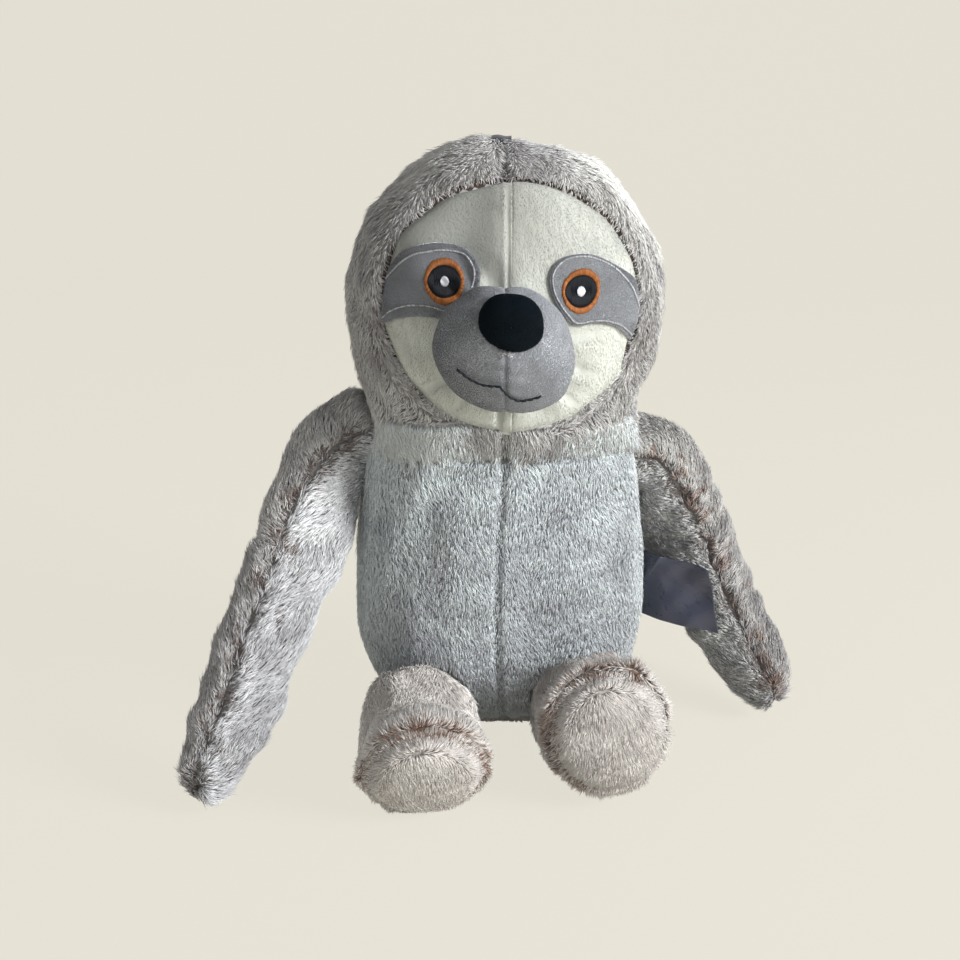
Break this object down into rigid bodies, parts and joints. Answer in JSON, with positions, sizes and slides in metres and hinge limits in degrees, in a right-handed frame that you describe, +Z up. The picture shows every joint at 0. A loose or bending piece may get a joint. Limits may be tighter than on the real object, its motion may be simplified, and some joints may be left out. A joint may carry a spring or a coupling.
{
  "type": "plush sloth toy",
  "caption": "Sitting stuffed sloth with a hooded head, a sewn face, long swinging arms and short legs; it sits on a flat base panel.",
  "frame": {"origin": "on the surface that the toy sits on, under the middle of its body", "axes": "+Z up; the face looks along -Y; +X is the toy's own left"},
  "size_m": [0.3496, 0.207, 0.3481],
  "materials": {
    "arm_filling_left": "loose polyester stuffing",
    "arm_filling_right": "loose polyester stuffing",
    "arm_inner_left": "long-pile silvery grey fur fabric with brown roots",
    "arm_inner_right": "long-pile silvery grey fur fabric with brown roots",
    "arm_outer_left": "long-pile taupe fur fabric with frosted tips and brown roots",
    "arm_outer_right": "long-pile taupe fur fabric with frosted tips and brown roots",
    "base_panel": "long-pile taupe fur fabric with frosted tips and brown roots",
    "bean_pouch": "plain woven cloth bag of beans",
    "body_back_left": "long-pile taupe fur fabric with frosted tips and brown roots",
    "body_back_right": "long-pile taupe fur fabric with frosted tips and brown roots",
    "body_filling": "loose polyester stuffing",
    "body_front_left": "long-pile light bluish-grey fur fabric",
    "body_front_right": "long-pile light bluish-grey fur fabric",
    "care_label": "navy woven satin ribbon",
    "crown_ribbon": "navy woven satin ribbon",
    "eye_highlight_left": "white embroidery thread",
    "eye_highlight_right": "white embroidery thread",
    "eye_patch_left": "very short-pile grey plush",
    "eye_patch_right": "very short-pile grey plush",
    "eye_pupil_left": "near-black embroidery thread",
    "eye_pupil_right": "near-black embroidery thread",
    "eye_ring_left": "orange embroidery thread",
    "eye_ring_right": "orange embroidery thread",
    "face_left": "short-pile creamy white plush",
    "face_right": "short-pile creamy white plush",
    "head_filling": "loose polyester stuffing",
    "hood_left": "long-pile taupe fur fabric with frosted tips and brown roots",
    "hood_right": "long-pile taupe fur fabric with frosted tips and brown roots",
    "leg_filling_left": "loose polyester stuffing",
    "leg_filling_right": "loose polyester stuffing",
    "leg_top_left": "long-pile silvery grey fur fabric with brown roots",
    "leg_top_right": "long-pile silvery grey fur fabric with brown roots",
    "leg_under_left": "long-pile silvery grey fur fabric with brown roots",
    "leg_under_right": "long-pile silvery grey fur fabric with brown roots",
    "mouth_thread": "near-black embroidery thread",
    "muzzle_left": "very short-pile grey plush",
    "muzzle_right": "very short-pile grey plush",
    "neck_left": "long-pile taupe fur fabric with frosted tips and brown roots",
    "neck_right": "long-pile taupe fur fabric with frosted tips and brown roots",
    "nose": "blue-black velour",
    "patch_stitching_left": "silver-grey satin stitch",
    "patch_stitching_right": "silver-grey satin stitch",
    "sole_left": "long-pile silvery grey fur fabric with brown roots",
    "sole_right": "long-pile silvery grey fur fabric with brown roots"
  },
  "bodies": {
    "torso": {"base_panel": "base_panel", "bean_pouch": "bean_pouch", "body_back_left": "body_back_left", "body_back_right": "body_back_right", "body_filling": "body_filling", "body_front_left": "body_front_left", "body_front_right": "body_front_right", "neck_left": "neck_left", "neck_right": "neck_right"},
    "head": {"crown_ribbon": "crown_ribbon", "eye_highlight_left": "eye_highlight_left", "eye_highlight_right": "eye_highlight_right", "eye_patch_left": "eye_patch_left", "eye_patch_right": "eye_patch_right", "eye_pupil_left": "eye_pupil_left", "eye_pupil_right": "eye_pupil_right", "eye_ring_left": "eye_ring_left", "eye_ring_right": "eye_ring_right", "face_left": "face_left", "face_right": "face_right", "head_filling": "head_filling", "hood_left": "hood_left", "hood_right": "hood_right", "mouth_thread": "mouth_thread", "muzzle_left": "muzzle_left", "muzzle_right": "muzzle_right", "nose": "nose", "patch_stitching_left": "patch_stitching_left", "patch_stitching_right": "patch_stitching_right"},
    "right_arm": {"arm_filling_right": "arm_filling_right", "arm_inner_right": "arm_inner_right", "arm_outer_right": "arm_outer_right"},
    "left_arm": {"arm_filling_left": "arm_filling_left", "arm_inner_left": "arm_inner_left", "arm_outer_left": "arm_outer_left"},
    "right_leg": {"leg_filling_right": "leg_filling_right", "leg_top_right": "leg_top_right", "leg_under_right": "leg_under_right", "sole_right": "sole_right"},
    "left_leg": {"leg_filling_left": "leg_filling_left", "leg_top_left": "leg_top_left", "leg_under_left": "leg_under_left", "sole_left": "sole_left"},
    "label": {"care_label": "care_label"}
  },
  "joints": [
    {"name": "neck_nod", "type": "hinge", "parent": "torso", "child": "head", "pos_m": [0, 0, 0.16], "axis": [1, 0, 0], "range_deg": [-15, 15], "stiffness_Nm_per_rad": 1.5, "deforming": ["neck_left", "neck_right"]},
    {"name": "right_shoulder", "type": "hinge", "parent": "torso", "child": "right_arm", "pos_m": [-0.0745, 0, 0.172], "axis": [1, 0, 0], "range_deg": [-115, 80]},
    {"name": "left_shoulder", "type": "hinge", "parent": "torso", "child": "left_arm", "pos_m": [0.0745, 0, 0.172], "axis": [1, 0, 0], "range_deg": [-145, 50]},
    {"name": "right_hip", "type": "hinge", "parent": "torso", "child": "right_leg", "pos_m": [-0.048, -0.076, 0.036], "axis": [1, 0, 0], "range_deg": [-25, 70]},
    {"name": "left_hip", "type": "hinge", "parent": "torso", "child": "left_leg", "pos_m": [0.048, -0.056, 0.036], "axis": [1, 0, 0], "range_deg": [-4, 70]},
    {"name": "label_flap", "type": "hinge", "parent": "torso", "child": "label", "pos_m": [0.0812, 0, 0.093], "axis": [0, 0, 1], "range_deg": [-60, 6], "deforming": ["care_label"]}
  ]
}
